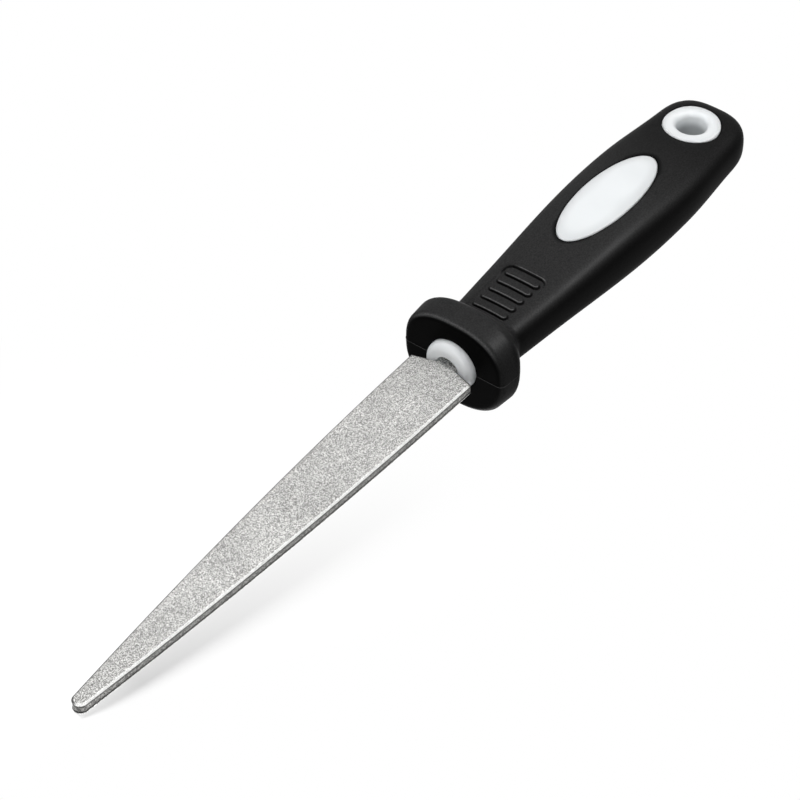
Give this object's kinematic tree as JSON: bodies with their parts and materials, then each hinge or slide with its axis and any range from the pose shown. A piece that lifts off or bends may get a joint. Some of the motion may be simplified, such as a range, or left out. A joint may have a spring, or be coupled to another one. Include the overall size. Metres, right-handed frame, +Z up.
{
  "type": "diamond sharpening file",
  "caption": "Flat tapered file with diamond grit on its upper and lower faces, on a black and white moulded handle with a flared guard, thumb ribs and a hang hole, for sharpening by hand.",
  "frame": {"origin": "middle of the tool's length and width, at the height of the guard's lowest point, on which the tool lies", "axes": "+X from the tip of the file to the butt of the handle, +Z up and square to the grit faces, +Y across the blade"},
  "size_m": [0.253, 0.0306, 0.027],
  "materials": {
    "blank_steel": "fine ground",
    "diamond_grit": "fine sparkling grit",
    "white_plastic": "satin",
    "black_rubber": "matte"
  },
  "bodies": {
    "root": {"file_blank": "blank_steel", "diamond_layer_top": "diamond_grit", "diamond_layer_bottom": "diamond_grit", "handle_core": "white_plastic", "soft_grip": "black_rubber"}
  },
  "joints": []
}
